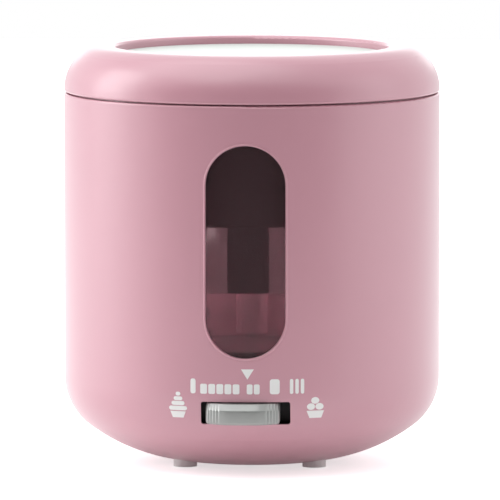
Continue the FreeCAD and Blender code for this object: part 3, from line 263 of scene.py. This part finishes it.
MATERIALS = {
    "pink_shell": moulded("pink_shell", (0.575, 0.284, 0.345), 0.38, coat=1.0, coat_roughness=0.3),
    "pink_paddle": moulded("pink_paddle", (0.74, 0.36, 0.43), 0.45),
    "white_cover": moulded("white_cover", (0.58, 0.645, 0.61), 0.4, coat=0.15),
    "charcoal_plastic": moulded("charcoal_plastic", (0.030, 0.022, 0.024), 0.5, vary=0.1),
    "silver_plastic": moulded("silver_plastic", (0.34, 0.35, 0.34), 0.34, metal=0.45, coat=0.3),
    "smoked_window": moulded("smoked_window", (0.05, 0.026, 0.03), 0.12, alpha=0.5, coat=0.1,
                             coat_roughness=0.1, vary=0.02, rough_vary=0.02, specular=0.3),
    "clear_bowl": moulded("clear_bowl", (0.80, 0.58, 0.62), 0.12, alpha=0.3, rough_vary=0.03),
    "grey_rubber": moulded("grey_rubber", (0.10, 0.095, 0.095), 0.75, grain=0.0003),
    "pink_silicone": moulded("pink_silicone", (0.70, 0.33, 0.40), 0.6),
    "foam": moulded("foam", (0.82, 0.82, 0.79), 0.9, grain=0.003, grain_height=0.0003),
    "aluminium": moulded("aluminium", (0.72, 0.72, 0.73), 0.32, metal=1.0, grain=0.0008),
    "pale_plastic": moulded("pale_plastic", (0.75, 0.75, 0.75), 0.5),
    "gel": moulded("gel", (0.30, 0.45, 0.62), 0.3),
    "steel": moulded("steel", (0.55, 0.55, 0.56), 0.3, metal=1.0),
    "gear_plastic": moulded("gear_plastic", (0.76, 0.74, 0.68), 0.42),
    "brass": moulded("brass", (0.72, 0.52, 0.22), 0.3, metal=1.0),
    "motor_core": moulded("motor_core", (0.10, 0.10, 0.11), 0.45, metal=0.8),
    "board": moulded("board", (0.02, 0.13, 0.06), 0.4, grain=0.002),
    "capacitor_black": moulded("capacitor_black", (0.01, 0.01, 0.012), 0.35),
    "white_silicone": moulded("white_silicone", (0.84, 0.84, 0.83), 0.5),
    "wire_red": moulded("wire_red", (0.40, 0.02, 0.02), 0.45),
}


def paint_nodes():
    """Gives every CAD node the material of its slot in the record."""
    slot_of = {entry["node"]: entry["material_slot"] for entry in frame["record"]["subparts"]}
    for node, item in frame["nodes"].items():
        item.data.materials.clear()
        item.data.materials.append(MATERIALS[slot_of[node]])


# ---------------------------------------------------------------- marks printed on the shell


def shell_reach(height):
    """Outer radius of the shell at a height, in millimetres."""
    if height >= CORNER_HEIGHT:
        return SHELL_RADIUS
    drop = CORNER_HEIGHT - height
    return SHELL_RADIUS - CORNER_RADIUS + math.sqrt(CORNER_RADIUS ** 2 - drop ** 2)


def on_shell(x, z, lift):
    """The point of the shell's front at x and z, in metres, raised off it by lift millimetres."""
    reach = shell_reach(z) + lift
    return Vector((x, -math.sqrt(reach ** 2 - x ** 2), z)) * MM


def finish_piece(name, mesh_source, slot, body):
    """Turns a bmesh into a piece that rides on a body, with its slot's material."""
    mesh = bpy.data.meshes.new(name)
    mesh_source.normal_update()
    mesh_source.to_mesh(mesh)
    mesh_source.free()
    piece = bpy.data.objects.new(name, mesh)
    bpy.context.collection.objects.link(piece)
    piece.data.materials.append(MATERIALS[slot])
    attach(piece, body)
    return piece


def round_box(left, right, low, high, radius, steps=4):
    """Outline of a rounded rectangle in x and z."""
    points = []
    corners = ((right, high, 0), (left, high, 90), (left, low, 180), (right, low, 270))
    for x, z, start in corners:
        middle_x = x - radius if x == right else x + radius
        middle_z = z - radius if z == high else z + radius
        for step in range(steps + 1):
            turn = math.radians(start + 90 * step / steps)
            points.append((middle_x + radius * math.cos(turn), middle_z + radius * math.sin(turn)))
    return points


def lobe(x, z, half_width, half_height, steps=20):
    """Outline of an ellipse in x and z."""
    return [(x + half_width * math.cos(math.tau * n / steps),
             z + half_height * math.sin(math.tau * n / steps)) for n in range(steps)]


def bars(start, width, pitch, count, low, high, radius):
    """Outlines of upright bars in a row, the first one starting at start."""
    lefts = [start + pitch * n for n in range(count)]
    return [round_box(left, left + width, low, high, radius) for left in lefts]


def tub(middle, half_top, half_base, low, high):
    """Outline of a cup that narrows downwards."""
    return [(middle - half_top, high), (middle - half_base, low),
            (middle + half_base, low), (middle + half_top, high)]


def printed(name, outlines, thickness=0.12, root=0.05, cell=1.5):
    """A mark of several closed outlines, printed on the shell's front as a thin raised film."""
    film = bmesh.new()
    for outline in outlines:
        film.faces.new([film.verts.new((x, 0, z)) for x, z in outline])
    for axis in (Vector((1, 0, 0)), Vector((0, 0, 1))):
        along = [vert.co.dot(axis) for vert in film.verts]
        low, high = min(along), max(along)
        for step in range(1, math.ceil((high - low) / cell)):
            bmesh.ops.bisect_plane(film, geom=film.verts[:] + film.edges[:] + film.faces[:],
                                   plane_co=axis * (low + cell * step), plane_no=axis)
    # Every outline faces the front, whichever way round it was drawn.
    film.normal_update()
    for face in film.faces:
        if face.normal.y > 0:
            face.normal_flip()
    extruded = bmesh.ops.extrude_face_region(film, geom=film.faces[:])
    raised = {item for item in extruded["geom"] if isinstance(item, bmesh.types.BMVert)}
    for vert in film.verts:
        vert.co = on_shell(vert.co.x, vert.co.z, thickness if vert in raised else -root)
    return finish_piece(name, film, "white_silicone", "housing")


def add_scale():
    """The scale above the slider, from small blocks to tall marks, and the pointer over it."""
    foot = BUTTON_HEIGHT + 9.8
    short, tall = foot + 5.0, foot + 7.5
    printed("scale_start_mark", bars(-27.4, 2.6, 0, 1, foot, tall, 1.1))
    printed("scale_blocks", bars(-22.5, 3.4, 4.05, 5, foot, short, 0.8))
    printed("scale_pair", bars(0.7, 2.9, 3.5, 2, foot, short, 0.8))
    printed("scale_tall_mark", bars(12.1, 4.9, 0, 1, foot, tall, 1.2))
    printed("scale_end_marks", bars(22.0, 1.7, 2.7, 3, foot, tall, 0.8))
    middle, half_width, tip, top = 1.0, 3.2, foot + 7.4, foot + 12.5
    printed("scale_pointer", [[(middle - half_width, top), (middle + half_width, top), (middle, tip)]])


def add_end_marks():
    """A soft-serve swirl left of the slider and a cup with three scoops right of it."""
    foot = BUTTON_HEIGHT - 2.8
    middle = -33.7
    layers = ((1.2, 11.2, 13.1, 0.9), (2.2, 8.9, 10.8, 0.9), (3.3, 6.4, 8.5, 1.0), (4.5, 3.8, 6.0, 1.0))
    swirl = [round_box(middle - half, middle + half, foot + low, foot + high, radius)
             for half, low, high, radius in layers]
    printed("swirl_mark", swirl + [tub(middle, 3.9, 2.7, foot, foot + 3.3)])

    middle, scoop = 34.5, (2.0, 1.7)
    printed("cup_mark", [tub(middle, 4.3, 2.9, foot, foot + 3.8), lobe(middle - 2.1, foot + 5.9, *scoop),
                         lobe(middle + 2.1, foot + 5.9, *scoop), lobe(middle, foot + 9.0, *scoop)])


# ---------------------------------------------------------------- bead round the window


def window_path(arc_steps=24, straight_steps=20):
    """Points round the window's opening, each with its outward direction, in x and z."""
    straight = WINDOW_HALF_LENGTH - WINDOW_HALF_WIDTH
    path = []
    for end in (1, -1):
        for step in range(arc_steps + 1):
            turn = math.radians(180 * step / arc_steps)
            out_x, out_z = end * math.cos(turn), end * math.sin(turn)
            path.append((WINDOW_HALF_WIDTH * out_x,
                         WINDOW_HEIGHT + end * straight + WINDOW_HALF_WIDTH * out_z, out_x, out_z))
        for step in range(1, straight_steps):
            height = WINDOW_HEIGHT + end * straight * (1 - 2 * step / straight_steps)
            path.append((-end * WINDOW_HALF_WIDTH, height, -end, 0))
    return path


def add_window_bead():
    """A fine rounded lip along the edge of the window's opening."""
    half_width, proud, off_edge, root = 0.55, 0.45, 0.6, 0.05
    turns = [math.radians(angle) for angle in range(0, 181, 30)]
    half_round = [(half_width * math.cos(turn), proud * math.sin(turn)) for turn in turns]
    bead = bmesh.new()
    rings = []
    for x, z, out_x, out_z in window_path():
        places = [(off_edge + across, height - root) for across, height in half_round]
        rings.append([bead.verts.new(on_shell(x + out * out_x, z + out * out_z, lift))
                      for out, lift in places])
    for one, other in zip(rings, rings[1:] + rings[:1]):
        for a in range(len(half_round)):
            b = (a + 1) % len(half_round)
            bead.faces.new((one[a], one[b], other[b], other[a]))
    bmesh.ops.recalc_face_normals(bead, faces=bead.faces[:])
    for face in bead.faces:
        face.smooth = True
    finish_piece("window_bead", bead, "pink_shell", "housing")


# ---------------------------------------------------------------- slider's button


def arc(x, z, radius, start, end, steps):
    """Points along an arc; angles in degrees."""
    turns = [math.radians(start + (end - start) * n / steps) for n in range(steps + 1)]
    return [(x + radius * math.cos(turn), z + radius * math.sin(turn)) for turn in turns]


def button_section(x, half_width, half_height, front, back):
    """Outline across the button at x from its middle, as points of depth and height."""
    end_depth, end_round = 94.4, 1.4
    dish_depth, dish_half_width = 0.9, 9.0
    rib_depth, rib_pitch, ribs_from = 0.35, 1.5, 11.5
    low_round, top_bevel, bevel_round, top_round = 1.6, 3.2, 1.2, 1.0

    bow = (half_width ** 2 + (front - end_depth) ** 2) / (2 * (front - end_depth))
    reach = front - bow + math.sqrt(bow ** 2 - x ** 2)
    reach -= dish_depth * max(0.0, 1 - (x / dish_half_width) ** 2) ** 2
    if ribs_from < abs(x) < half_width - end_round:
        wave = 0.5 - 0.5 * math.cos(math.tau * (abs(x) - ribs_from) / rib_pitch)
        reach -= rib_depth * wave
    over = max(0.0, abs(x) - (half_width - end_round))
    shrink = end_round - math.sqrt(max(0.0, end_round ** 2 - over ** 2))
    reach, tall = reach - shrink, half_height - shrink

    points = [(back, -tall)]
    points += arc(reach - low_round, low_round - tall, low_round, -90, 0, 6)
    points += arc(reach - bevel_round, tall - top_bevel - 0.5, bevel_round, 0, 40, 4)
    points += arc(reach - top_bevel - 0.4, tall - top_round, top_round, 40, 90, 4)
    return points + [(back, tall)]


def add_slider_button(count=160):
    """The bowed silver button: a wide bevel along its top, ribbed ends and a shallow thumb dish."""
    low, high = BUTTON_LOW, BUTTON_HIGH
    middle, half_width = (low.x + high.x) / 2, (high.x - low.x) / 2
    half_height = (high.z - low.z) / 2
    stations = [half_width * math.sin(math.pi / 2 * (2 * n / count - 1)) for n in range(count + 1)]
    button = bmesh.new()
    rings = []
    for x in stations:
        outline = button_section(x, half_width, half_height, -low.y, -high.y)
        rings.append([button.verts.new(Vector((middle + x, -depth, BUTTON_HEIGHT + height)) * MM)
                      for depth, height in outline])
    for one, other in zip(rings, rings[1:]):
        for a in range(len(one)):
            b = (a + 1) % len(one)
            button.faces.new((one[a], one[b], other[b], other[a]))
    button.faces.new(rings[0])
    button.faces.new(rings[-1][::-1])
    bmesh.ops.recalc_face_normals(button, faces=button.faces[:])
    for face in button.faces:
        face.smooth = len(face.verts) == 4
    piece = finish_piece("slider_button_moulding", button, "silver_plastic", "slider")
    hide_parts("slider_button")


add_camera()
add_surroundings()
add_floor()
add_dark_board()
add_lights()
paint_nodes()
add_scale()
add_end_marks()
add_window_bead()
add_slider_button()

bpy.context.scene.view_settings.view_transform = "Standard"
bpy.context.scene.view_settings.look = "None"
